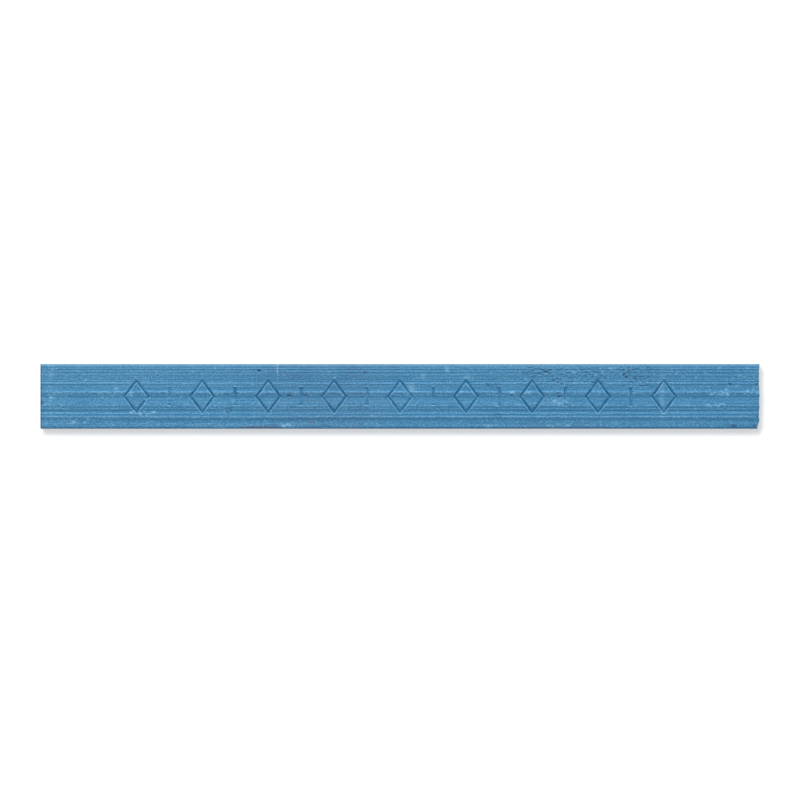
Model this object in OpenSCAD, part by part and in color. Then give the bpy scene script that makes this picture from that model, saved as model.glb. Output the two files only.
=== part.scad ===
// Pastel stick: a square stick of hard pastel, pushed through a die, stamped along one face and cut to length.
// It lies on a long face with the stamped face up. X runs along it from the cut end to the rough end,
// Y runs across it towards the rear, and Z is up. The origin is under its middle, on the surface it lies on.

/* [Stick] */
// Length from the cut end to the furthest grain of the rough end
stick_length = 72; // [40:1:100]
// Width across the front and rear faces
stick_width = 6.5; // [5:0.25:10]
// Height from the face it lies on to the stamped face
stick_height = 6.5; // [5:0.25:10]
// Radius that the die leaves along the four long edges
edge_radius = 0.25; // [0.1:0.05:0.4]

/* [Die lines] */
// Depth of the deepest line below the highest ridge of its face
line_depth = 0.09; // [0.02:0.01:0.12]
// Distance from the highest ridge of the stamped or the lower face to the long edges beside it
edge_drop = 0.07; // [0:0.01:0.1]
// Number of narrow lands side by side on each face that isn't stamped
land_count = 15; // [9:2:21]

/* [Stamped row] */
// Length of a lozenge along the stick
lozenge_length = 2.6; // [1.5:0.1:3]
// Height of a lozenge across the stick
lozenge_height = 3.5; // [2:0.1:4]
// Height of the bar between two lozenges
bar_height = 1.8; // [1:0.1:3]
// Distance from the middle of a lozenge to the middle of the next bar
mark_pitch = 3.3; // [2.5:0.1:5]
// Shortest bare length between the row and either end
bare_end = 7; // [3:0.5:12]
// Width of the stamped line
stroke = 0.2; // [0.15:0.05:0.4]
// Depth of the stamped line below the highest ridge of the face
stamp_depth = 0.18; // [0.13:0.01:0.3]

/* [Ends] */
// Width of the bevel round the cut end, at the deepest line
cut_bevel = 0.07; // [0.05:0.01:0.2]
// Depth of the deepest hollow in the middle of the rough end
hollow_depth = 0.35; // [0.1:0.05:0.8]
// Height of the grains that stand out of the rough end at its rim
rim_roughness = 0.08; // [0.02:0.01:0.2]
// Distance between neighbouring grains of the rough end
grain_pitch = 0.3; // [0.3:0.05:0.8]
// Length of the chip at the front upper corner of the rough end
chip_length = 0.25; // [0.05:0.05:0.6]
// Distance from that corner over which the chip fades out
chip_reach = 0.9; // [0.4:0.1:2]

/* [Hidden] */

// The stamped face's section, from the rear edge's arc to the front one's.
// Each point is [share of the width between the arcs, share of the deepest line's depth].
STAMPED_FACE = [
    [0.030, 0.70], [0.045, 0.50], [0.060, 0.75], [0.075, 0.55], [0.095, 0.55], [0.110, 0.70], [0.145, 0.60],
    [0.175, 0.75], [0.210, 0.80], [0.225, 0.90], [0.245, 0.75], [0.260, 0.85], [0.275, 0.60], [0.295, 0.45],
    [0.310, 0.65], [0.345, 0.60], [0.360, 0.70], [0.395, 0.65], [0.410, 0.45], [0.425, 0.10], [0.445, 0.00],
    [0.460, 0.25], [0.475, 0.35], [0.495, 0.50], [0.510, 0.75], [0.575, 0.65], [0.660, 0.15], [0.695, 0.50],
    [0.710, 0.45], [0.745, 0.90], [0.760, 0.80], [0.795, 0.50], [0.810, 0.65], [0.845, 0.25], [0.875, 0.65],
    [0.890, 0.90], [0.910, 1.00], [0.925, 1.00], [0.985, 0.90]
];
ARC_STEPS = 5;
QUARTER = 90;

LAND_SHARE = 0.6; // of each land's pitch that is flat, the rest being the slope to the next land
LAND_SHIFT = 0.15; // most that a land lies off the middle of its pitch, as a share of the pitch
FACE_SEEDS = [undef, 11, 23, 37]; // by face number, for the random lands of the faces that have them

mark_count = floor((stick_length - 2 * bare_end) / mark_pitch);
grain_rows = ceil(stick_height / grain_pitch);
grain_columns = ceil(stick_width / grain_pitch);
CUTTER_MARGIN = 0.5; // how far a cutter reaches past what it cuts
GRAIN_SEED = 5;

// A point of face number k, seen with that face on top, turned into its place in the section.
function turned(point, k) =
    [
        point.x * cos(QUARTER * k) - point.y * sin(QUARTER * k),
        point.x * sin(QUARTER * k) + point.y * cos(QUARTER * k)
    ];

// How far the long edges lie below the highest ridge of face number k.
function drop(k) = k % 2 == 0 ? edge_drop : 0;

// Distance from the border of face number k to where its lines begin.
function arc_width(k) = edge_radius + drop(k + 1);

// The lines of the stamped face: [distance from its first border, depth].
function stamped_lines(width) =
    [for (p = STAMPED_FACE) [arc_width(0) + p.x * (width - 2 * arc_width(0)), p.y * line_depth]];

// The lines of any other face: lands at random depths, with three at the full height of the face,
// the middle one and the last but one at each side, so that the stick lies flat on it.
function plain_lines(width, k) =
    let (
        pitch = (width - 2 * arc_width(k)) / land_count,
        shifts = rands(-LAND_SHIFT, LAND_SHIFT, land_count, FACE_SEEDS[k]),
        depths = rands(0, line_depth, land_count, FACE_SEEDS[k] + 1),
        middle_land = (land_count - 1) / 2
    )
    [
        for (i = [0:land_count - 1])
            let (
                from_middle = abs(i - middle_land),
                is_high = from_middle == 0 || from_middle == middle_land - 1,
                middle = arc_width(k) + pitch * (i + 0.5 + shifts[i]),
                depth = is_high ? 0 : depths[i],
                half_land = pitch * LAND_SHARE / 2
            )
            each [[middle - half_land, depth], [middle + half_land, depth]]
    ];

// Face number k of the section and the long edge that follows it: 0 is the stamped face, then front, lower and rear.
function face_outline(k) =
    let (
        width = k % 2 == 0 ? stick_width : stick_height,
        height = k % 2 == 0 ? stick_height : stick_width,
        lines = k == 0 ? stamped_lines(width) : plain_lines(width, k),
        arc_centre = [arc_width(k) - width / 2, height / 2 - edge_radius - drop(k)]
    )
    [
        for (p = lines)
            turned([width / 2 - p.x, height / 2 - p.y], k),
        for (i = [0:ARC_STEPS])
            let (angle = QUARTER + QUARTER * i / ARC_STEPS)
            turned(arc_centre + edge_radius * [cos(angle), sin(angle)], k)
    ];

// The stick as it leaves the die: one section all the way.
module die_bar() {
    translate([-stick_length / 2, 0, stick_height / 2])
        rotate([90, 0, 90])
            linear_extrude(stick_length)
                polygon([for (k = [0:3]) each face_outline(k)]);
}

// What is taken off one edge of the cut end, along the edge that runs across at the given height.
module bevel_cutter(edge_height, edge_length) {
    diagonal = 2 * (cut_bevel + line_depth);
    translate([-stick_length / 2, 0, edge_height])
        rotate([0, 45, 0])
            cube([diagonal / sqrt(2), edge_length + diagonal, diagonal / sqrt(2)], center = true);
}

// The bevel round the cut end, on all four of its edges.
module cut_end_bevels() {
    for (height = [-stick_height / 2, stick_height / 2])
        translate([0, 0, stick_height / 2])
            bevel_cutter(height, stick_width);
    for (height = [-stick_width / 2, stick_width / 2])
        translate([0, 0, stick_height / 2])
            rotate([90, 0, 0])
                bevel_cutter(height, stick_height);
}

// How far the rough end lies behind its furthest grain at place [y, z], before the lowest value is taken off.
// It is hollow in the middle, rough all over, and chipped at the front upper corner.
function end_depth(y, z, grain) =
    let (
        across = 2 * abs(y) / stick_width,
        up = 2 * abs(z - stick_height / 2) / stick_height,
        inward = 1 - max(across, up),
        to_corner = norm([y + stick_width / 2, z - stick_height]),
        chip = max(0, 1 - to_corner / chip_reach)
    )
    grain * (rim_roughness + (hollow_depth - rim_roughness) * max(0, inward))
        + chip_length * chip;

// The rough end's surface, as rows of points [x, y, z] from the bottom up.
function end_surface() =
    let (
        across = grain_columns + 1,
        up = grain_rows + 1,
        grains = rands(0, 1, across * up, GRAIN_SEED),
        depths = [
            for (j = [0:grain_rows], i = [0:grain_columns])
                end_depth(grain_y(i), grain_z(j), grains[i + across * j])
        ],
        furthest = min(depths)
    )
    [
        for (j = [0:grain_rows], i = [0:grain_columns])
            [stick_length / 2 + furthest - depths[i + across * j], grain_y(i), grain_z(j)]
    ];

// Places of the grains across and up, with the outermost ones a little outside the stick.
function grain_y(i) =
    (stick_width + 2 * CUTTER_MARGIN) * (i / grain_columns - 0.5);
function grain_z(j) =
    (stick_height + 2 * CUTTER_MARGIN) * (j / grain_rows - 0.5) + stick_height / 2;

// What is taken off the rough end: a block whose inner side is the rough surface.
module rough_end_cutter() {
    across = grain_columns + 1;
    up = grain_rows + 1;
    outside = stick_length / 2 + CUTTER_MARGIN;
    inner = end_surface();
    outer = [for (p = inner) [outside, p.y, p.z]];
    count = across * up;
    faces = [
        for (j = [0:grain_rows - 1], i = [0:grain_columns - 1])
            let (a = i + across * j, b = a + 1, c = b + across, d = a + across)
            each [[a, b, c], [a, c, d], [a + count, c + count, b + count], [a + count, d + count, c + count]],
        for (i = [0:grain_columns - 1])
            let (a = i, b = a + across * grain_rows)
            each [[a, a + count, a + 1 + count, a + 1], [b + 1, b + 1 + count, b + count, b]],
        for (j = [0:grain_rows - 1])
            let (a = across * j, b = a + grain_columns)
            each [[a + across, a + across + count, a + count, a], [b, b + count, b + across + count, b + across]]
    ];
    polyhedron(points = concat(inner, outer), faces = faces, convexity = 6);
}

// The outline of a lozenge that is smaller than the stamped one by the given distance all round.
module lozenge(inset) {
    half = [lozenge_length / 2, lozenge_height / 2];
    share = 1 - inset * norm(half) / (half.x * half.y);
    polygon(share * [[half.x, 0], [0, half.y], [-half.x, 0], [0, -half.y]]);
}

// One stamped mark: a lozenge drawn with a thin line, or a bar.
module mark(is_lozenge) {
    if (is_lozenge)
        difference() {
            lozenge(0);
            lozenge(stroke);
        }
    else
        square([stroke, bar_height], center = true);
}

// The row of marks, lozenge and bar in turn, sunk into the upper face.
module stamped_row() {
    first = -(mark_count - 1) / 2;
    for (i = [0:mark_count - 1])
        translate([(first + i) * mark_pitch, 0, stick_height - stamp_depth])
            linear_extrude(stamp_depth + CUTTER_MARGIN)
                mark(i % 2 == 0);
}

// The whole stick, which is one piece.
module pastel_stick() {
    color([0.29, 0.54, 0.70])
        difference() {
            die_bar();
            cut_end_bevels();
            rough_end_cutter();
            stamped_row();
        }
}

pastel_stick();
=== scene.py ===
"""The looks of a square stick of hard pastel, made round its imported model.

The stick is one piece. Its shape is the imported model's: each point of the dense mesh made here starts on
that model's surface, found with a ray, and is then moved by the fine relief that the model leaves out, such
as striations, pits, crumbs and grain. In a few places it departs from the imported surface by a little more:
the bevel round the cut end is narrower, the stamped face's rear edge is rubbed flat, the marks are partly
filled, and the rough end has crumbled further back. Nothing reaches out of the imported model's box.

Lengths are in millimetres until the mesh is turned into an object. X runs along the stick from the cut end
to the rough end, Y across it and Z up. The skin is unrolled into sheets: "along" is X, and "around" is the
distance round the section from the middle of the stamped face, forwards. A place on the stamped face is
given as x, y.
"""

import math

import bpy
import numpy as np
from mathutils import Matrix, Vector
from mathutils.bvhtree import BVHTree
from mathutils.geometry import delaunay_2d_cdt


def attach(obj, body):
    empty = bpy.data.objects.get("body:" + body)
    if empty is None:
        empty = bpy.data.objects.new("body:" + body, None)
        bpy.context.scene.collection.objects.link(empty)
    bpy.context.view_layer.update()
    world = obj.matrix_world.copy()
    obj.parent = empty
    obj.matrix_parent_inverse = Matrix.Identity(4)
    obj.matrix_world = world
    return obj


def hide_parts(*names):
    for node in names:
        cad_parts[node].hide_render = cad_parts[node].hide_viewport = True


MM = 0.001
NODE = "pastel_stick"

# The mesh
LONG_STEPS = 640  # steps along the stamped face
COARSE = 4  # of those steps to one step along the other faces
TOP_ROWS = 111  # steps across the stamped face
SIDE_ROWS = 34  # steps across each other face
ARC_ROWS = 5  # steps round each long edge
EDGE_RADIUS = 0.25  # of the long edges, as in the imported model
EDGE_DROP = 0.07  # how far they lie below the stamped face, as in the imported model
END_STEP = 0.025  # length of the first steps at both ends
CAP_PITCH = 0.17  # distance between the points inside an end face
SHARP_ANGLE = math.radians(50)

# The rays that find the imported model's surface
MARGIN = 1.0  # how far outside the stick a ray starts
PLAIN_PLACE = 0.9  # share of the way from the middle to the cut end, where there are no marks and no bevel
FINE_SPREAD = [(dx, dv) for dx in (-0.033, 0.0, 0.033) for dv in (-0.012, 0.012)]
COARSE_SPREAD = [(0.0, 0.0)]
WANDER = 0.015  # how far the die lines stray sideways
RIM_INSET = 0.03  # how far inside the outline the rough end's rim is looked for
RIM_BEND = 1.0  # length over which the columns close up on that rim
CUT_CLEARANCE = 0.002  # how far inside the cut end the outermost rays stay
ROUGH_CLEARANCE = 0.004  # and how far inside the rough end's rim

END_INSET = 0.12  # how far inside the box an end face's inner points start
BARE_END = 7.0  # length at either end that has no marks
MODEL_BEVEL = 0.17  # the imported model's bevel round the cut end is narrower than this
CUT_BEVEL = 0.04  # width of the bevel that is made here
RUBBED_REACH = 0.226  # from the centre of the rear edge's arc to the flat that is rubbed on it
LINE_GAIN = 1.2  # how much the die lines are deepened, as a share of their depth under the skin beside them

# What stands in and beside the marks
MARK_DEPTHS = (0.095, 0.125)  # below the box's top, between the deepest lines and the marks' floors
MARK_FILL = 0.05  # how far the marks are filled at most
CRUMB_RISE = 0.04  # height of the crumbs that the stamp pushed up
CRUMB_DUST = 0.9  # and their dust
BURR_RISE = 0.03  # height of the burr along the marks' front and left rims
BURR_DUST = 0.5  # and its dust
LEFT_BURR = 0.5  # share of the burr's height that the left rims have

# Wear of the long edges and roughness of the end faces
NICK_DEPTH = 0.05  # of the deepest nicks in the long edges
CUT_ROUGHNESS = 0.015  # of the cut end, drawn out upwards by the blade
CUT_SINK = 0.02  # how far the cut end's grains are sunk
ROUGH_GRAIN = 0.04  # of the rough end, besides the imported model's own

# What the material reads
LIFT_REACH = 0.25  # how far to each side the skin is averaged, to tell which places stand out of it
LIFT_UNIT = 0.03  # height above that average that counts as a lift of 1
FRESH_SPAN = (0.10, 0.20)  # from the cut end, over which the fresh colour fades out
WORN_TURN = 0.3  # angle round the rear edge, in radians, at which the worn colour is full
CAP_LIFT = 0.6  # lift of an end face's highest grains, which the colour makes paler and the low grains deeper, partly as painted highlight and shade
CAP_DUST = 0.2  # and their dust
CAP_FRESH = 0.6  # how much of the fresh colour an end face shows

# The layout for baking
LAYOUT_MAP = "OFBake"
LAYOUT_GAP = 0.15  # between its strips
LAYOUT_SIZE = 54.0  # side of the square that everything fits in
LAYOUT_END = 40.0  # where the end faces lie on it

# The camera, straight above
FIELD = 80.06  # width of the view at the stamped face
CAMERA_X = -0.01
CAMERA_Y = -0.365
LENS = 600.0
SENSOR = 36.0

# The light. Each share is of the light on the level stamped face, and together they make 1.
AMBIENT = 0.20
KEY_SHARE = 0.53
KEY_REAR = 5.8  # degrees that it leans from overhead to the rear
KEY_LEFT = 3.4
KEY_DISTANCE = 1150.0
KEY_SIZE = 120.0
RAKE_SHARE = 0.27
RAKE_HEIGHT = 14.0  # degrees above the floor
RAKE_DISTANCE = 600.0
RAKE_SIZE = 220.0

# The floor
FLOOR_TONE = 0.80  # share of its brightness that falls off in shadow
FLOOR_GLOW = (0.532, 0.527, 0.519, 1)  # share that doesn't, which is warm
FLOOR_SIZE = 4000.0
FLOOR_DROP = 0.01  # how far it lies below the stick, so that the two don't coincide


# ---------------------------------------------------------------- small tools


def fade(t):
    """From 0 to 1 as t goes from 0 to 1, starting and ending level."""
    return t * t * (3 - 2 * t)


def ramp(t, low, high):
    """0 where t is under low, 1 where it is over high, and smooth between them."""
    return fade(np.clip((t - low) / (high - low), 0, 1))


def noise(rng, u, v):
    """Random values from -1 to 1 at whole numbers, blended smoothly at the places u, v between them."""
    u = u - u.min()
    v = v - v.min()
    lattice = rng.uniform(-1, 1, (int(u.max()) + 2, int(v.max()) + 2))
    i, j = u.astype(int), v.astype(int)
    a, b = fade(u - i), fade(v - j)
    low = lattice[i, j] * (1 - a) + lattice[i + 1, j] * a
    high = lattice[i, j + 1] * (1 - a) + lattice[i + 1, j + 1] * a
    return low * (1 - b) + high * b


def spread_out(values, rows, columns):
    """The mean of the values over some rows and columns to each side."""
    for axis, half in ((0, rows), (1, columns)):
        pad = [(half, half) if axis == way else (0, 0) for way in (0, 1)]
        padded = np.pad(values, pad, mode="edge")
        count = values.shape[axis]
        values = sum(padded.take(range(i, i + count), axis) for i in range(2 * half + 1)) / (2 * half + 1)
    return values


# ---------------------------------------------------------------- the section and its sheets


def section(width, height):
    """The places round the section, from where the stamped face begins at its rear edge, and the distance
    all round. Each place has its foot, from which the skin is measured, its outward direction, its distance
    around, its distance inwards from the nearest long edge, and how far it has turned round such an edge."""
    feet, outs, around, inner, turned = [], [], [], [], []
    arc = math.pi / 2 * EDGE_RADIUS
    start = EDGE_RADIUS - width / 2
    total = start
    for k in range(4):
        across = (width, height)[k % 2]
        sunk, beside = ((EDGE_DROP, 0), (0, EDGE_DROP))[k % 2]
        flat = across - 2 * (EDGE_RADIUS + beside)
        centre = (-flat / 2, (height, width)[k % 2] / 2 - EDGE_RADIUS - sunk)
        rows = TOP_ROWS if k == 0 else SIDE_ROWS
        c, s = round(math.cos(math.pi / 2 * k)), round(math.sin(math.pi / 2 * k))
        face = [(flat / 2 - flat * i / rows, 0.0, 0.0, 1.0, flat * i / rows) for i in range(rows + 1)]
        for i in range(1, ARC_ROWS):
            a = math.pi / 2 * (1 + i / ARC_ROWS)
            face.append((*centre, math.cos(a), math.sin(a), flat + arc * i / ARC_ROWS))
        turned += [0.0] * (rows + 1) + [math.pi / 2 * i / ARC_ROWS for i in range(1, ARC_ROWS)]
        for y, z, out_y, out_z, way in face:
            feet.append((y * c - z * s, y * s + z * c))
            outs.append((out_y * c - out_z * s, out_y * s + out_z * c))
            around.append(total + way)
            inner.append(max(0.0, min(way, flat - way)))
        total += flat + arc
    return [np.array(values) for values in (feet, outs, around, inner, turned)], total - start


BLOB_REACH = 1.3  # how far from its middle a blob is drawn, in lengths or widths of it
RING_REACH = 3  # how far outside its radius a ring is drawn, in widths of its line
RING_SHADE = 0.6  # how much painted shade shows in a ring


class Sheet:
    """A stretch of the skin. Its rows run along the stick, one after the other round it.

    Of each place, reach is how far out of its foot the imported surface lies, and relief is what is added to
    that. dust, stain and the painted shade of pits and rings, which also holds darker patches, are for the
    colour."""

    def __init__(self, places, columns):
        self.feet, self.outs, around, inner, turned = places
        shape = (len(around), len(columns))
        self.around = np.broadcast_to(around[:, None], shape)
        self.inner = np.broadcast_to(inner[:, None], shape)
        self.turned = np.broadcast_to(turned[:, None], shape)
        self.along = np.broadcast_to(columns, shape).copy()
        self.reach = np.zeros(shape)
        self.relief = np.zeros(shape)
        self.dust = np.zeros(shape)
        self.stain = np.zeros(shape)
        self.painted_shade_and_patch = np.zeros(shape)

    def near(self, x, y, half):
        """The part of the sheet near x, y on the stamped face, and how far its places lie from x and y."""
        rows = np.flatnonzero(np.abs(self.around[:, 0] + y) < half)
        columns = np.flatnonzero(np.abs(self.along[len(self.along) // 2] - x) < half)
        if not len(rows) or not len(columns):
            return None
        part = (slice(rows[0], rows[-1] + 1), slice(columns[0], columns[-1] + 1))
        return part, self.along[part] - x, -self.around[part] - y

    def blob(self, values, x, y, length, width, amount, turn=0.0):
        """Adds a soft spot to some values of the sheet, turned by some degrees from the stick's length."""
        found = self.near(x, y, BLOB_REACH * max(length, width))
        if found is None:
            return
        part, dx, dy = found
        c, s = math.cos(math.radians(turn)), math.sin(math.radians(turn))
        u = (dx * c + dy * s) / (length / 2)
        v = (dy * c - dx * s) / (width / 2)
        values[part] += amount * np.exp(-u * u - v * v)

    def ring(self, x, y, radius, line, depth):
        """Sinks a round line into the sheet, such as a burst bubble leaves, and paints shade into it."""
        found = self.near(x, y, radius + RING_REACH * line)
        if found is None:
            return
        part, dx, dy = found
        off = (np.hypot(dx, dy) - radius) / line
        self.relief[part] -= depth * np.exp(-off * off)
        self.painted_shade_and_patch[part] += RING_SHADE * np.exp(-off * off)

    def points(self, middle_z):
        """The sheet's places in space, in one long list."""
        out = self.reach + self.relief
        y = self.feet[:, 0, None] + self.outs[:, 0, None] * out
        z = self.feet[:, 1, None] + self.outs[:, 1, None] * out + middle_z
        return np.stack([self.along, y, z], -1).reshape(-1, 3)


def columns_along(low, high):
    """Places of the columns: short steps at both ends and even ones between them."""
    ends = END_STEP * np.arange(COARSE)
    middle = np.linspace(low + COARSE * END_STEP, high - COARSE * END_STEP, LONG_STEPS - 2 * COARSE + 1)
    return np.concatenate([low + ends, middle, high - ends[::-1]])


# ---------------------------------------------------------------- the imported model's surface

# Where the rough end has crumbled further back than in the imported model: place across, width and depth
CRUMBLED = [
    (-3.30, 0.55, 0.20),
    (-2.05, 0.15, 0.09),
    (-0.90, 0.20, 0.03),
    (0.30, 0.20, 0.03),
    (1.20, 0.15, 0.08),
    (2.50, 0.25, 0.06),
]


class Model:
    """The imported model's surface, for rays."""

    def __init__(self, node):
        mesh = node.data
        corners = [v.co / MM for v in mesh.vertices]
        self.tree = BVHTree.FromPolygons(corners, [p.vertices[:] for p in mesh.polygons])
        self.low = np.min(corners, 0)
        self.high = np.max(corners, 0)
        self.middle_z = (self.low[2] + self.high[2]) / 2

    def reach(self, x, foot, out, spread):
        """How far out of its foot the surface lies, as the mean of a few rays close together."""
        far = self.high[1] + self.high[2]
        back = Vector((0.0, -out[0], -out[1]))
        found = []
        for dx, dv in spread:
            y = foot[0] + out[0] * far - out[1] * dv
            z = foot[1] + out[1] * far + out[0] * dv + self.middle_z
            distance = self.tree.ray_cast(Vector((x + dx, y, z)), back)[3]
            if distance is not None:
                found.append(far - distance)
        return sum(found) / len(found) if found else math.nan

    def end(self, y, z, side):
        """Where the surface's end lies at y, z. side is 1 for the rough end and -1 for the cut one."""
        start = Vector((side * (self.high[0] + MARGIN), y, z))
        place = self.tree.ray_cast(start, Vector((-side, 0, 0)))[0]
        return place.x if place is not None else math.nan


def crumbled(y):
    """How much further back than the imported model's the rough end lies at a place across the stick."""
    return sum(depth * np.exp(-(((y - middle) / width) ** 2)) for middle, width, depth in CRUMBLED)


def rim_of(model, foot, out):
    """Where the rough end's rim lies along the stick, for one row of a sheet."""
    reach = model.reach(PLAIN_PLACE * model.low[0], foot, out, COARSE_SPREAD) - RIM_INSET
    y = foot[0] + out[0] * reach
    z = foot[1] + out[1] * reach + model.middle_z
    return model.end(y, z, 1) - crumbled(y)


def settle_on_model(sheet, model, spread, stray):
    """Bends the last columns to the rough end's rim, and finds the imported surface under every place."""
    start = model.high[0] - RIM_BEND
    for row in range(len(sheet.along)):
        foot, out = sheet.feet[row], sheet.outs[row]
        rim = rim_of(model, foot, out)
        share = np.clip((sheet.along[row] - start) / RIM_BEND, 0, 1)
        sheet.along[row] -= share * (model.high[0] - rim)
        inside = np.clip(sheet.along[row], model.low[0] + CUT_CLEARANCE, rim - ROUGH_CLEARANCE)
        for column, x in enumerate(inside):
            moved = [(dx, dv + stray[row, column]) for dx, dv in spread]
            sheet.reach[row, column] = model.reach(x, foot, out, moved)
        holes = np.isnan(sheet.reach[row])
        sheet.reach[row, holes] = np.nanmedian(sheet.reach[row])


# ---------------------------------------------------------------- what handling and the die left on the skin


# Streaks and grain: length along, width around and height
STREAKS = [
    (18.0, 0.10, 0.009),
    (4.0, 0.10, 0.005),
    (0.8, 0.10, 0.003),
    (0.15, 0.11, 0.004),
    (0.9, 0.45, 0.003),
]


def striate(sheet, rng):
    """Fine lines along the stick, which come and go, and the grain of the pastel itself."""
    open_skin = ramp(sheet.inner, 0.0, 0.12)
    for length, width, height in STREAKS:
        sheet.relief += height * open_skin * noise(rng, sheet.along / length, sheet.around / width)


def sharpen_cut(sheet, model):
    """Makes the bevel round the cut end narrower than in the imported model."""
    from_end = sheet.along - model.low[0]
    bevelled = from_end < MODEL_BEVEL
    crisp = sheet.reach[:, bevelled[0].argmin(), None] - np.maximum(CUT_BEVEL - from_end, 0)
    sheet.reach = np.where(bevelled, np.maximum(sheet.reach, crisp), sheet.reach)


def deepen_lines(sheet):
    """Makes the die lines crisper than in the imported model."""
    well_inside = spread_out(sheet.inner > 0, 2, 0) == 1
    sheet.relief += LINE_GAIN * (sheet.reach - spread_out(sheet.reach, 2, 0)) * well_inside


def wear_edges(sheet, rng):
    """Rubs the stamped face's rear edge flat, and takes small nicks out of all four long edges."""
    turned = sheet.turned
    square = EDGE_RADIUS / np.maximum(np.cos(turned), np.sin(turned))
    rubbed = np.minimum(square, RUBBED_REACH / np.cos(turned - math.pi / 4))
    sheet.relief += np.where((sheet.around < 0) & (turned > 0), rubbed - EDGE_RADIUS, 0)
    at_edge = 1 - ramp(sheet.inner, 0.0, 0.1)
    nicks = noise(rng, sheet.along / 0.3, sheet.around / 0.4)
    spells = noise(rng, sheet.along / 4, sheet.around / 3)
    sheet.relief -= NICK_DEPTH * at_edge * ramp(nicks, 0.4, 1.0) * ramp(spells, 0.0, 0.6)


def marks_of(sheet, model):
    """1 where a place is in one of the stamped marks, and 0 where it isn't."""
    on_face = (sheet.inner > 0.1) & (np.abs(sheet.along) < model.high[0] - BARE_END)
    return ramp(model.middle_z - sheet.reach, *MARK_DEPTHS) * on_face


def push_up_crumbs(sheet, mark, rng):
    """Crumbs that the stamp pushed up beside its marks, in some stretches."""
    beside = np.clip(2 * spread_out(mark, 3, 2) - 2 * mark, 0, 1)
    crumb = noise(rng, sheet.along / 0.14, sheet.around / 0.12)
    spell = noise(rng, sheet.along / 1.0, sheet.around / 1.0)
    pushed_up = beside * ramp(crumb, 0.1, 0.9) * ramp(spell, -0.1, 0.6)
    sheet.relief += CRUMB_RISE * pushed_up
    sheet.dust += CRUMB_DUST * pushed_up


def raise_burrs(sheet, mark, rng):
    """A burr along the marks' front rims, and a lower one along their left rims."""
    front = np.clip(np.roll(mark, 3, axis=0) - 1.5 * mark, 0, 1)
    left = np.clip(np.roll(mark, -1, axis=1) - 1.5 * mark, 0, 1)
    height = noise(rng, sheet.along / 0.5, sheet.around / 0.5)
    burr = np.maximum(front, LEFT_BURR * left) * ramp(height, -0.8, 0.4)
    sheet.relief += BURR_RISE * burr
    sheet.dust += BURR_DUST * burr


def weather_marks(sheet, model, rng):
    """The stamp didn't bite evenly: its marks are partly filled, with crumbs and burrs beside them."""
    mark = marks_of(sheet, model)
    bite = noise(rng, sheet.along / 1.3, sheet.around / 0.8)
    sheet.relief += MARK_FILL * mark * ramp(bite, -0.3, 0.8)
    push_up_crumbs(sheet, mark, rng)
    raise_burrs(sheet, mark, rng)


def tear(sheet, rng, count, span, size, depth):
    """Small torn pits with painted shade in them, drawn out along the stick, at random places in a span of
    the stamped face.
    """
    (low_x, high_x), (low_y, high_y) = span
    for _ in range(count):
        x, y = rng.uniform(low_x, high_x), rng.uniform(low_y, high_y)
        length, width = size * rng.uniform(0.6, 1.8), size * rng.uniform(0.5, 0.9)
        share = rng.uniform(0.4, 1.0)
        sheet.blob(sheet.relief, x, y, length, width, -depth * share)
        sheet.blob(sheet.painted_shade_and_patch, x, y, length, width, share)


def crumbs(sheet, rng, count, span, size, rise):
    """Loose crumbs and their dust, at random places in a span of the stamped face."""
    (low_x, high_x), (low_y, high_y) = span
    for _ in range(count):
        x, y = rng.uniform(low_x, high_x), rng.uniform(low_y, high_y)
        across = size * rng.uniform(0.9, 1.5)
        sheet.blob(sheet.relief, x, y, across, across, rise * rng.uniform(0.5, 1.0))
        sheet.blob(sheet.dust, x, y, 1.2 * across, across, rng.uniform(0.4, 1.3))


# Pits: x, y, length, width and depth
PITS = [
    (-14.15, 2.6, 0.22, 0.20, 0.18),
    (-11.1, 0.05, 0.35, 0.14, 0.10),
    (-9.5, 0.1, 0.30, 0.12, 0.09),
    (35.75, -2.05, 0.20, 0.16, 0.05),
    (35.50, -2.95, 0.20, 0.22, 0.06),
    (35.80, 1.20, 0.20, 0.20, 0.05),
    (-3.5, 2.4, 0.18, 0.15, 0.08),
    (11.2, 0.1, 0.20, 0.14, 0.08),
    (12.4, 0.15, 0.30, 0.14, 0.10),
    (15.9, 0.0, 0.30, 0.14, 0.10),
    (22.45, 2.2, 0.20, 0.20, 0.18),
    (22.6, 1.95, 0.20, 0.14, 0.15),
    (33.0, 1.2, 0.22, 0.20, 0.18),
    (33.4, -3.0, 0.40, 0.20, 0.06),
    (-35.95, 0.8, 0.20, 0.25, 0.07),
    (-35.95, -0.7, 0.24, 0.45, 0.09),
]
# Torn stretches: how many pits, span along, span across, size and depth of a pit
TORN = [
    (22, ((13.0, 15.4), (2.1, 2.8)), 0.16, 0.070),
    (12, ((14.0, 16.0), (0.8, 1.7)), 0.15, 0.060),
    (14, ((8.4, 10.0), (0.4, 1.3)), 0.16, 0.060),
    (60, ((-35.5, 35.5), (-0.1, 0.4)), 0.16, 0.025),
    (130, ((-35.5, 35.5), (-3.0, 3.0)), 0.13, 0.050),
    (9, ((-34.5, -30.0), (-2.2, -1.9)), 0.14, 0.020),
    (3, ((-34.6, -34.0), (-1.0, -0.85)), 0.16, 0.030),
    (80, ((22.2, 25.2), (1.0, 2.9)), 0.13, 0.080),
    (90, ((15.2, 21.0), (1.2, 2.9)), 0.13, 0.070),
    (40, ((12.2, 15.4), (1.8, 2.9)), 0.13, 0.070),
]
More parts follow.
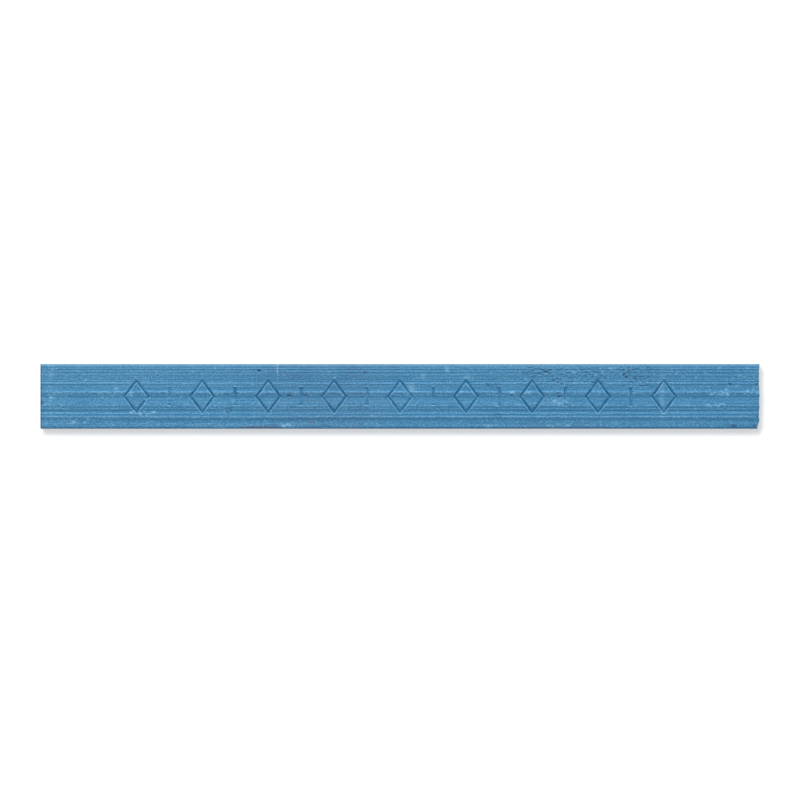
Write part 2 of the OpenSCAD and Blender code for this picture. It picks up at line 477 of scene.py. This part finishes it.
# Crumbs: how many, span along, span across, size and rise
CRUMBS = [
    (120, ((-35.8, 35.8), (-3.1, 3.1)), 0.10, 0.015),
    (12, ((-11.9, -10.8), (-3.05, -2.75)), 0.14, 0.02),
    (9, ((-35.3, -34.6), (2.0, 3.1)), 0.12, 0.02),
    (10, ((-33.6, -31.0), (-2.9, -2.2)), 0.15, 0.03),
    (5, ((-35.2, -34.6), (-0.2, 0.3)), 0.13, 0.02),
    (4, ((-28.6, -28.0), (0.3, 0.8)), 0.13, 0.03),
    (5, ((-27.3, -26.6), (0.0, 0.5)), 0.13, 0.03),
    (6, ((-25.7, -25.0), (-0.8, -0.1)), 0.12, 0.02),
    (4, ((11.1, 11.5), (0.1, 0.5)), 0.16, 0.04),
    (4, ((12.5, 12.9), (0.1, 0.5)), 0.16, 0.04),
    (10, ((14.9, 16.9), (-1.1, -0.2)), 0.12, 0.02),
    (24, ((30.6, 33.0), (0.1, 0.4)), 0.11, 0.02),
    (20, ((30.6, 32.6), (-1.1, -0.75)), 0.11, 0.02),
    (14, ((34.4, 35.8), (0.2, 0.9)), 0.11, 0.02),
    (3, ((8.4, 9.4), (-3.05, -2.85)), 0.16, 0.02),
    (6, ((14.7, 17.3), (-3.05, -2.85)), 0.16, 0.02),
    (12, ((-27.4, -24.5), (-1.9, -1.5)), 0.14, 0.02),
    (60, ((12.2, 25.6), (1.0, 2.9)), 0.10, 0.02),
    (45, ((27.0, 35.8), (0.4, 2.9)), 0.10, 0.02),
]
# Rubbed and dusty spots: x, y, length, width, strength and turn
RUBS = [
    (-12.3, 2.7, 1.10, 0.12, 1.3, 90),
    (1.1, 0.8, 0.80, 0.90, 0.7, 0),
    (2.3, 2.0, 0.40, 0.60, 0.6, 0),
    (4.7, 2.7, 0.40, 0.60, 0.8, 20),
    (6.7, 1.9, 0.50, 0.40, 0.6, 0),
    (15.9, -0.6, 1.90, 0.90, 0.3, 0),
    (26.2, 0.2, 0.50, 4.20, 0.45, 0),
    (-35.0, 0.0, 0.50, 6.00, 0.15, 0),
]
# Rings left by burst bubbles: x, y, radius, width of the line and depth
RINGS = [
    (-17.2, -1.45, 0.26, 0.06, 0.04),
    (9.8, -2.0, 0.20, 0.07, 0.03),
]
# Darker patches: x, y, length, width and strength
DARKER = [
    (23.8, 2.0, 4.4, 2.6, 0.07),
    (14.0, 1.9, 9.0, 2.6, 0.04),
]


PIT_SHADE = 2.0  # strength of the painted shade in a pit. It is full at about 1, so the rest widens the pit


def age_top(sheet, rng):
    """The stamped face's own pits, torn stretches, crumbs, rubs, rings and darker patches. The pits, torn
    stretches and rings get painted shade.
    """
    for x, y, length, width, depth in PITS:
        sheet.blob(sheet.relief, x, y, length, width, -depth)
        sheet.blob(sheet.painted_shade_and_patch, x, y, length, width, PIT_SHADE)
    for stretch in TORN:
        tear(sheet, rng, *stretch)
    for patch in CRUMBS:
        crumbs(sheet, rng, *patch)
    for x, y, length, width, strength, turn in RUBS:
        sheet.blob(sheet.dust, x, y, length, width, strength, turn)
    for patch in DARKER:
        sheet.blob(sheet.painted_shade_and_patch, *patch)
    for ring in RINGS:
        sheet.ring(*ring)


# Where another pastel has stained this one. A span is the x at which the stain begins, is full, starts to
# fade and ends.
STAINED_SPAN = (-18.5, -6.5, -5.0, 0.5)
STAINED_ALL_OVER = 0.16  # strength of the stain between its threads
THREAD_STRENGTH = 0.9
EDGE_STAINS = [((-16.3, -15.6, -12.4, -11.8), 1.8), ((10.0, 11.0, 20.0, 22.0), 0.72)]  # span and strength
EDGE_STAIN_Y = -3.06
EDGE_STAIN_WIDTH = 0.10
STAIN_SPOT = (-0.9, 3.0, 1.4, 0.2, 0.8, -15)  # x, y, length, width, strength and turn


def within(x, span):
    """1 in the middle of a span, and 0 outside it."""
    begins, is_full, fades, ends = span
    return ramp(x, begins, is_full) * (1 - ramp(x, fades, ends))


def stain_top(sheet, rng):
    """Threads and dots of another pastel's colour, which this one lay against in its box."""
    x = sheet.along
    threads = noise(rng, x / 1.8, sheet.around / 0.10)
    dots = noise(rng, x / 0.22, sheet.around / 0.12)
    cloud = noise(rng, x / 2.2, sheet.around / 1.2)
    threaded = ramp(threads + 0.9 * dots + 0.3 * cloud, 0.5, 1.4)
    sheet.stain += within(x, STAINED_SPAN) * (STAINED_ALL_OVER + THREAD_STRENGTH * threaded)
    from_line = (sheet.around + EDGE_STAIN_Y) / EDGE_STAIN_WIDTH
    edge_line = sum(strength * within(x, span) for span, strength in EDGE_STAINS)
    sheet.stain += edge_line * np.exp(-from_line * from_line) * ramp(dots, -0.8, 0.4)
    sheet.blob(sheet.stain, *STAIN_SPOT)


def keep_inside(sheet, model):
    """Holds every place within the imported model's box, so that the stick still lies flat."""
    for axis, half in ((0, model.high[1]), (1, model.middle_z)):
        foot, out = sheet.feet[:, axis, None], sheet.outs[:, axis, None]
        facing = np.abs(out) > 0.01
        limit = np.where(facing, (half - foot * np.sign(out)) / np.maximum(np.abs(out), 0.01), np.inf)
        sheet.relief = np.minimum(sheet.relief, limit - sheet.reach)


def lift_of(sheet):
    """How far each place of a face stands above the skin round it, from -1.5 to 1.5. It is 0 on the edges."""
    skin = sheet.reach + sheet.relief
    on_face = (sheet.inner > 0).astype(float)
    step = np.abs(np.diff(sheet.around[:, 0])).mean()
    rows = max(1, round(LIFT_REACH / step))
    mean_skin = spread_out(skin * on_face, rows, 0) / np.maximum(spread_out(on_face, rows, 0), 0.001)
    return np.clip((skin - mean_skin) / LIFT_UNIT, -1.5, 1.5) * on_face


def fresh_of(sheet):
    """How much of the fresh, deeper colour shows: all of it at the very edge of the cut end."""
    return 1 - ramp(sheet.along - sheet.along.min(), *FRESH_SPAN)


def worn_of(sheet):
    """How much of the worn, greyer colour shows: all of it on the rubbed rear edge, and none elsewhere."""
    return np.where(sheet.around < 0, ramp(sheet.turned, 0.0, WORN_TURN), 0)


def fields_of(sheet):
    """What the material reads at each place of a sheet."""
    return {
        "lift": lift_of(sheet),
        "dust": sheet.dust,
        "stain": sheet.stain,
        "painted_shade_and_patch": sheet.painted_shade_and_patch,
        "fresh": fresh_of(sheet),
        "worn": worn_of(sheet),
    }


def cap_fields(grain):
    """What the material reads at each inner point of an end face."""
    nothing = np.zeros(grain.shape)
    return {
        "lift": CAP_LIFT * grain,
        "dust": CAP_DUST * ramp(grain, 0.3, 1.0),
        "stain": nothing,
        "painted_shade_and_patch": nothing,
        "fresh": nothing + CAP_FRESH,
        "worn": nothing,
    }


def joined(first, second):
    """The fields of two lists of points that follow each other."""
    return {name: np.concatenate([values.ravel(), second[name].ravel()]) for name, values in first.items()}


# ---------------------------------------------------------------- the two end faces


def scattered(model, rng):
    """Places all over an end face, a little off an even grid."""
    half = (model.high[1] - END_INSET, model.middle_z - END_INSET)
    steps = [np.arange(-h, h, CAP_PITCH) for h in half]
    y, z = (grid.ravel() for grid in np.meshgrid(*steps))
    y = y + rng.uniform(-0.3, 0.3, y.shape) * CAP_PITCH
    z = z + rng.uniform(-0.3, 0.3, z.shape) * CAP_PITCH + model.middle_z
    return y, z


def triangles_between(rim, y, z):
    """The triangles of an end face. The rim's points are numbered first, then the places y, z inside it."""
    flat = [Vector(place) for place in np.concatenate([rim[:, 1:], np.stack([y, z], -1)])]
    result = delaunay_2d_cdt(flat, [], [list(range(len(rim)))], 1, 1e-6)
    given = [numbers[0] for numbers in result[3]]
    return np.array([[given[i] for i in face] for face in result[2]])


def without_unused(triangles, rim_count, count):
    """Which inner places of an end face are in a triangle, and the triangles numbered without the rest."""
    used = np.isin(rim_count + np.arange(count), triangles)
    numbers = np.concatenate([np.arange(rim_count), rim_count - 1 + np.cumsum(used)])
    return used, numbers[triangles]


def end_face(model, rim, side, rng):
    """The points inside an end face, its triangles, and how far each of the points stands out as a grain."""
    y, z = scattered(model, rng)
    triangles = triangles_between(rim, y, z)
    grain = noise(rng, y / 0.30, z / 0.30) + 0.6 * noise(rng, y / 0.17, z / 0.17)
    if side > 0:
        packed_x = np.array([model.end(*place, side) for place in zip(y, z)])
        x = packed_x - ROUGH_GRAIN * (1 + grain) - crumbled(y)
        x = np.minimum(x, model.high[0])
    else:
        triangles = triangles[:, ::-1]
        drag = noise(rng, y / 0.25, z / 6)
        x = model.low[0] + CUT_ROUGHNESS * (1 + drag) + CUT_SINK * ramp(grain, 0.4, 1.2)
    used, triangles = without_unused(triangles, len(rim), len(y))
    return np.stack([x, y, z], -1)[used], triangles, np.clip(grain, -1, 1)[used]


# ---------------------------------------------------------------- from sheets to a mesh


def quads(index):
    """The four-cornered faces of a sheet, from the numbers of its points."""
    return np.stack([index[:-1, :-1], index[1:, :-1], index[1:, 1:], index[:-1, 1:]], -1).reshape(-1, 4)


def seams(fine_row, coarse_row, fine_on_top):
    """The faces between a row of the fine sheet and the coarse sheet's row beside it."""
    starts = np.arange(0, len(fine_row) - 1, COARSE)
    run = [fine_row[starts + i] for i in range(COARSE + 1)]
    pair = [coarse_row[:-1], coarse_row[1:]]
    order = [*pair, *run[::-1]] if fine_on_top else [*pair[::-1], *run]
    return np.stack(order, -1)


def lay_out(along, around, quarter, low):
    """Places on the layout for baking, where each side of the stick is a strip, cut in two halves."""
    strip = np.round(around.mean(-1, keepdims=True) / quarter)
    half = (along.mean(-1, keepdims=True) > 0).astype(float)
    u = along - low * (1 - half)
    v = around - (strip - 0.5) * quarter + (2 * strip + half) * (quarter + LAYOUT_GAP)
    return (np.stack([u, v], -1) + LAYOUT_GAP) / LAYOUT_SIZE


def make_sheets(model):
    """The fine sheet, which is the stamped face and both its long edges, the coarse one, which is the rest,
    and the distance all round."""
    width, height = 2 * model.high[1], 2 * model.middle_z
    places, perimeter = section(width, height)
    places = [np.roll(values, ARC_ROWS, axis=0) for values in places]
    places[2][:ARC_ROWS] -= perimeter
    fine_rows = TOP_ROWS + 2 * ARC_ROWS + 1
    columns = columns_along(model.low[0], model.high[0])
    fine = Sheet([values[:fine_rows] for values in places], columns)
    coarse = Sheet([values[fine_rows:] for values in places], columns[::COARSE])
    return fine, coarse, perimeter


def age(sheet, model, spread, rng):
    """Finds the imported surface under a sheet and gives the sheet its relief."""
    stray = WANDER * noise(rng, sheet.along / 18, sheet.around / 1.5) * ramp(sheet.inner, 0.0, 0.5)
    settle_on_model(sheet, model, spread, stray)
    sharpen_cut(sheet, model)
    deepen_lines(sheet)
    striate(sheet, rng)
    wear_edges(sheet, rng)


def side_faces(fine, coarse, indices, perimeter, low):
    """The faces of the four long sides, and their corners' places on the layout."""
    fine_index, coarse_index = indices
    along = np.concatenate([fine.along.ravel(), coarse.along.ravel()])
    around = np.concatenate([fine.around.ravel(), coarse.around.ravel()])
    groups = [
        quads(fine_index),
        quads(coarse_index),
        seams(fine_index[-1], coarse_index[0], True),
        seams(fine_index[0], coarse_index[-1], False),
    ]
    arounds = [around[group] for group in groups]
    arounds[-1] = arounds[-1] + perimeter * (arounds[-1] < 0)
    faces = []
    layout = []
    for group, places in zip(groups, arounds):
        faces.extend(group.tolist())
        layout.append(lay_out(along[group], places, perimeter / 4, low).reshape(-1, 2))
    return faces, layout


def stick_mesh(model, rng):
    """The whole stick as one closed mesh, with its layout for baking and what its material reads."""
    fine, coarse, perimeter = make_sheets(model)
    age(fine, model, FINE_SPREAD, rng)
    age(coarse, model, COARSE_SPREAD, rng)
    weather_marks(fine, model, rng)
    age_top(fine, rng)
    stain_top(fine, rng)
    for sheet in (fine, coarse):
        keep_inside(sheet, model)

    fine_index = np.arange(fine.along.size).reshape(fine.along.shape)
    coarse_index = fine.along.size + np.arange(coarse.along.size).reshape(coarse.along.shape)
    points = np.concatenate([fine.points(model.middle_z), coarse.points(model.middle_z)])
    fields = joined(fields_of(fine), fields_of(coarse))
    faces, layout = side_faces(fine, coarse, (fine_index, coarse_index), perimeter, model.low[0])

    for side, column in ((-1, 0), (1, -1)):
        rim = np.concatenate([fine_index[:, column], coarse_index[:, column]])
        inner, triangles, grain = end_face(model, points[rim], side, rng)
        number = np.concatenate([rim, len(points) + np.arange(len(inner))])
        points = np.concatenate([points, inner])
        faces.extend(number[triangles].tolist())
        corner = points[number[triangles]][..., 1:] + [LAYOUT_END, (side + 2) * model.high[1]]
        layout.append(((corner + LAYOUT_GAP) / LAYOUT_SIZE).reshape(-1, 2))
        fields = joined(fields, cap_fields(grain))
    return points, faces, np.concatenate(layout), fields


def make_object(name, points, faces, layout, fields):
    """A Blender object, in metres."""
    mesh = bpy.data.meshes.new(name)
    mesh.from_pydata((points * MM).tolist(), [], faces)
    mesh.uv_layers.new(name=LAYOUT_MAP).data.foreach_set("uv", layout.astype(np.float32).ravel())
    for field, values in fields.items():
        mesh.attributes.new(field, "FLOAT", "POINT").data.foreach_set("value", values.astype(np.float32))
    mesh.shade_smooth()
    mesh.set_sharp_from_angle(angle=SHARP_ANGLE)
    mesh.update()
    piece = bpy.data.objects.new(name, mesh)
    bpy.context.scene.collection.objects.link(piece)
    return piece


# ---------------------------------------------------------------- materials


def add_node(tree, kind, sockets=(), **settings):
    """Adds a node, sets its settings, and fills the given input sockets with values or with other sockets."""
    node = tree.nodes.new(kind)
    for name, value in settings.items():
        setattr(node, name, value)
    for name, value in dict(sockets).items():
        if isinstance(value, bpy.types.NodeSocket):
            tree.links.new(value, node.inputs[name])
        else:
            node.inputs[name].default_value = value
    return node


def math_node(tree, operation, a, b, c=0.0):
    """The sum, product or other result of two or three values or sockets."""
    return add_node(tree, "ShaderNodeMath", {0: a, 1: b, 2: c}, operation=operation).outputs[0]


def texture(tree, place, scale, detail):
    """A noise from 0 to 1. scale is the number of its grains in a millimetre along X, Y and Z."""
    stretched = add_node(tree, "ShaderNodeMapping", {"Vector": place, "Scale": [s / MM for s in scale]})
    sockets = {"Vector": stretched.outputs[0], "Scale": 1.0, "Detail": detail, "Roughness": 0.6}
    return add_node(tree, "ShaderNodeTexNoise", sockets).outputs["Fac"]


def field_of(tree, name):
    """A field that is kept on the mesh."""
    return add_node(tree, "ShaderNodeAttribute", attribute_name=name).outputs["Fac"]


def blend_colour(tree, share, a, b):
    """A colour between a and b."""
    return add_node(
        tree, "ShaderNodeMix", {"Factor": share, "A": a, "B": b}, data_type="RGBA", clamp_factor=True
    ).outputs["Result"]


# The colours, as linear red, green, blue and opacity
DEEP = (0.006, 0.130, 0.289, 1)
BODY = (0.026, 0.200, 0.391, 1)
PALE = (0.118, 0.336, 0.530, 1)
# The next two colours: a whitish one that is partly chalk bloom and partly a painted highlight on the ridges,
# and a deeper one that is partly pigment and partly painted shade in the grooves
CHALK_AND_HIGHLIGHT = (0.320, 0.340, 0.380, 1)
GROOVE_PIGMENT_AND_SHADE = (0.000, 0.175, 0.365, 1)
FRESH = (0.006, 0.150, 0.345, 1)
STAIN = (0.068, 0.078, 0.145, 1)
WORN = (0.100, 0.160, 0.185, 1)
# Painted shade in the pits and rings, and the colour of the darker patches
SHADE_AND_PATCH_COLOUR = (0.000, 0.068, 0.165, 1)
DUST = (0.210, 0.470, 0.710, 1)

LIFT_TONE = 0.12  # how much paler a place with a lift of 1 is, as a share of the way from DEEP to PALE. Ridges paler and grooves deeper are partly painted highlight and shade
PAINTED_LIGHT_TO_CUT_END = -0.0016  # painted light, paler towards the cut end as if lit from the left: change of the tone with each millimetre along the stick

# The tone's patterns: grains in a millimetre along X, Y and Z, detail, and share of the tone
PATTERNS = [
    ((0.04, 9, 9), 0, 0.5),
    ((0.8, 9, 9), 1, 0.4),
    ((0.3, 0.3, 0.3), 2, 0.4),
    ((6.5, 9, 9), 1, 2.2),
]
# What is laid over the tone, in this order: field, how much of the colour shows where the field is 1, and
# colour. A colour with a share below 0 shows where the field is below 0.
TINTS = [
    # Painted highlight, with some chalk bloom, on the ridges, and painted shade, with some deeper pigment, in
    # the grooves
    ("lift", 0.06, CHALK_AND_HIGHLIGHT),
    ("lift", -0.8, GROOVE_PIGMENT_AND_SHADE),
    ("fresh", 1.0, FRESH),
    ("stain", 0.55, STAIN),
    ("worn", 0.4, WORN),
    # Painted shade in the pits and rings, and the darker patches
    ("painted_shade_and_patch", 0.9, SHADE_AND_PATCH_COLOUR),
]
DUST_SHARE = 0.7  # how much of the dust's colour shows, on average, where there is a dust of 1
SPECKLE_SCALE = (9, 9, 9)  # grains of the dust in a millimetre
ROUGHNESS = 0.7
SPECULAR = 0.62
GRAIN_SCALE = (7, 9, 9)  # grains of the finest relief in a millimetre
GRAIN_HEIGHT = 0.04


def pastel_tone(tree, place):
    """How pale the pastel is: 0 is DEEP, a half BODY and 1 PALE. It holds painted light that makes it paler
    towards the cut end.
    """
    # Ridges paler and grooves deeper, partly as painted highlight and shade
    tone = math_node(tree, "MULTIPLY_ADD", field_of(tree, "lift"), LIFT_TONE, 0.5)
    along = add_node(tree, "ShaderNodeSeparateXYZ", {0: place}).outputs["X"]
    # Painted light: paler towards the cut end, as if the stick were lit from the left
    tone = math_node(tree, "MULTIPLY_ADD", along, PAINTED_LIGHT_TO_CUT_END / MM, tone)
    for scale, detail, share in PATTERNS:
        centred = math_node(tree, "SUBTRACT", texture(tree, place, scale, detail), 0.5)
        tone = math_node(tree, "MULTIPLY_ADD", centred, share, tone)
    return tone


def pastel_colour(tree, place):
    """Chalky blue, in streaks along the stick. It is deeper in the lines and paler on the ridges, partly as
    painted shade and highlight, has painted shade in its pits, and is in places stained and dusty."""
    ramp_node = add_node(tree, "ShaderNodeValToRGB", {"Fac": pastel_tone(tree, place)})
    stops = ramp_node.color_ramp.elements
    stops[0].position = 0.0
    stops[0].color = DEEP
    stops[1].position = 1.0
    stops[1].color = PALE
    stops.new(0.5).color = BODY
    colour = ramp_node.outputs["Color"]
    for field, share, tint in TINTS:
        colour = blend_colour(tree, math_node(tree, "MULTIPLY", field_of(tree, field), share), colour, tint)
    speckle = math_node(tree, "ADD", texture(tree, place, SPECKLE_SCALE, 2), 0.5)
    dust = math_node(tree, "MULTIPLY", field_of(tree, "dust"), speckle)
    return blend_colour(tree, math_node(tree, "MULTIPLY", dust, DUST_SHARE), colour, DUST)


def pastel_material():
    """Matt pastel, with its finest grain as bump."""
    material = bpy.data.materials.new("pastel")
    material.use_nodes = True
    tree = material.node_tree
    shader = tree.nodes["Principled BSDF"]
    place = add_node(tree, "ShaderNodeTexCoord").outputs["Object"]
    grain = texture(tree, place, GRAIN_SCALE, 2)
    bump = add_node(tree, "ShaderNodeBump", {"Height": grain, "Strength": 1.0, "Distance": GRAIN_HEIGHT * MM})
    tree.links.new(pastel_colour(tree, place), shader.inputs["Base Color"])
    tree.links.new(bump.outputs["Normal"], shader.inputs["Normal"])
    shader.inputs["Roughness"].default_value = ROUGHNESS
    shader.inputs["Specular IOR Level"].default_value = SPECULAR
    return material


def camera_ray_mix(tree, seen, lit):
    """The shader seen for what the camera, a reflection or glass looks at, and else the shader lit."""
    rays = add_node(tree, "ShaderNodeLightPath").outputs
    looked_at = math_node(tree, "MAXIMUM", rays["Is Camera Ray"], rays["Is Glossy Ray"])
    looked_at = math_node(tree, "MAXIMUM", looked_at, rays["Is Transmission Ray"])
    mix = add_node(tree, "ShaderNodeMixShader", {0: looked_at})
    tree.links.new(lit, mix.inputs[1])
    tree.links.new(seen, mix.inputs[2])
    return mix.outputs[0]


def floor_material():
    """Pale floor. Part of the brightness that is seen there doesn't fall off in shadow, so it stays white."""
    material = bpy.data.materials.new("floor")
    material.use_nodes = True
    tree = material.node_tree
    tree.nodes.remove(tree.nodes["Principled BSDF"])
    paper = add_node(tree, "ShaderNodeBsdfDiffuse", {"Color": (FLOOR_TONE,) * 3 + (1,)}).outputs[0]
    glow = add_node(tree, "ShaderNodeEmission", {"Color": FLOOR_GLOW, "Strength": 1.0}).outputs[0]
    both = add_node(tree, "ShaderNodeAddShader", {0: paper, 1: glow}).outputs[0]
    tree.links.new(camera_ray_mix(tree, both, paper), tree.nodes["Material Output"].inputs["Surface"])
    return material


# ---------------------------------------------------------------- floor, light and camera


def make_floor():
    """A plain pale floor under the stick."""
    half = FLOOR_SIZE / 2 * MM
    mesh = bpy.data.meshes.new("floor")
    corners = [(-half, -half), (half, -half), (half, half), (-half, half)]
    mesh.from_pydata([(x, y, -FLOOR_DROP * MM) for x, y in corners], [], [(0, 1, 2, 3)])
    mesh.materials.append(floor_material())
    floor = bpy.data.objects.new("floor", mesh)
    bpy.context.scene.collection.objects.link(floor)


def make_world():
    """Light from all round, and a white background where the world is looked at."""
    world = bpy.data.worlds.new("world")
    world.use_nodes = True
    bpy.context.scene.world = world
    tree = world.node_tree
    light = add_node(tree, "ShaderNodeBackground", {"Strength": AMBIENT}).outputs[0]
    white = add_node(tree, "ShaderNodeBackground", {"Strength": 1.0}).outputs[0]
    for background in (light, white):
        background.node.inputs["Color"].default_value = (1, 1, 1, 1)
    tree.links.new(camera_ray_mix(tree, white, light), tree.nodes["World Output"].inputs["Surface"])


def make_lamp(name, share, direction, distance, size):
    """A square lamp that gives a level face its share of the light. direction points from the stick to it."""
    data = bpy.data.lights.new(name, "AREA")
    data.size = size * MM
    towards = Vector(direction).normalized()
    data.energy = share / towards.z * (math.pi * distance * MM) ** 2
    lamp = bpy.data.objects.new(name, data)
    lamp.location = towards * distance * MM
    lamp.rotation_euler = towards.to_track_quat("Z", "Y").to_euler()
    bpy.context.scene.collection.objects.link(lamp)
    return lamp


def shine_only_on(lamp, piece):
    """Keeps a lamp off the floor, so that it casts no long shadow there."""
    lit = bpy.data.collections.new(lamp.name)
    lit.objects.link(piece)
    lamp.light_linking.receiver_collection = lit


def make_lights(piece):
    """Soft light from nearly overhead, and a lamp low at the rear that picks out the die lines."""
    make_world()
    lean = [-math.tan(math.radians(KEY_LEFT)), math.tan(math.radians(KEY_REAR)), 1]
    make_lamp("key", KEY_SHARE, lean, KEY_DISTANCE, KEY_SIZE)
    low = [0, 1, math.tan(math.radians(RAKE_HEIGHT))]
    rake = make_lamp("rake", RAKE_SHARE, low, RAKE_DISTANCE, RAKE_SIZE)
    shine_only_on(rake, piece)


def make_camera(top):
    """Straight down on the stamped face, through a long lens."""
    data = bpy.data.cameras.new("camera")
    data.lens = LENS
    data.sensor_width = SENSOR
    camera = bpy.data.objects.new("camera", data)
    camera.location = Vector((CAMERA_X, CAMERA_Y, top + FIELD * LENS / SENSOR)) * MM
    bpy.context.scene.collection.objects.link(camera)
    bpy.context.scene.camera = camera


# ---------------------------------------------------------------- the scene

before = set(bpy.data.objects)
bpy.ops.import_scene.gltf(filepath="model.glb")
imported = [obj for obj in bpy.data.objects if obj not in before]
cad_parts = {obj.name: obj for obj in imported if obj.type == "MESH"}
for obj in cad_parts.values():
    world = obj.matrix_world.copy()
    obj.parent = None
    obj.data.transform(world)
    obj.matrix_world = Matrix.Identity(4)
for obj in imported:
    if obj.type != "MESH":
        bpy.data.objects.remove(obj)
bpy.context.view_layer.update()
bpy.context.scene.view_settings.view_transform = "Standard"

packed = Model(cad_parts[NODE])
stick = make_object("pastel_stick_skin", *stick_mesh(packed, np.random.default_rng(7)))
stick.data.materials.append(pastel_material())
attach(stick, "root")
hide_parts(NODE)

make_floor()
make_lights(stick)
make_camera(packed.high[2])
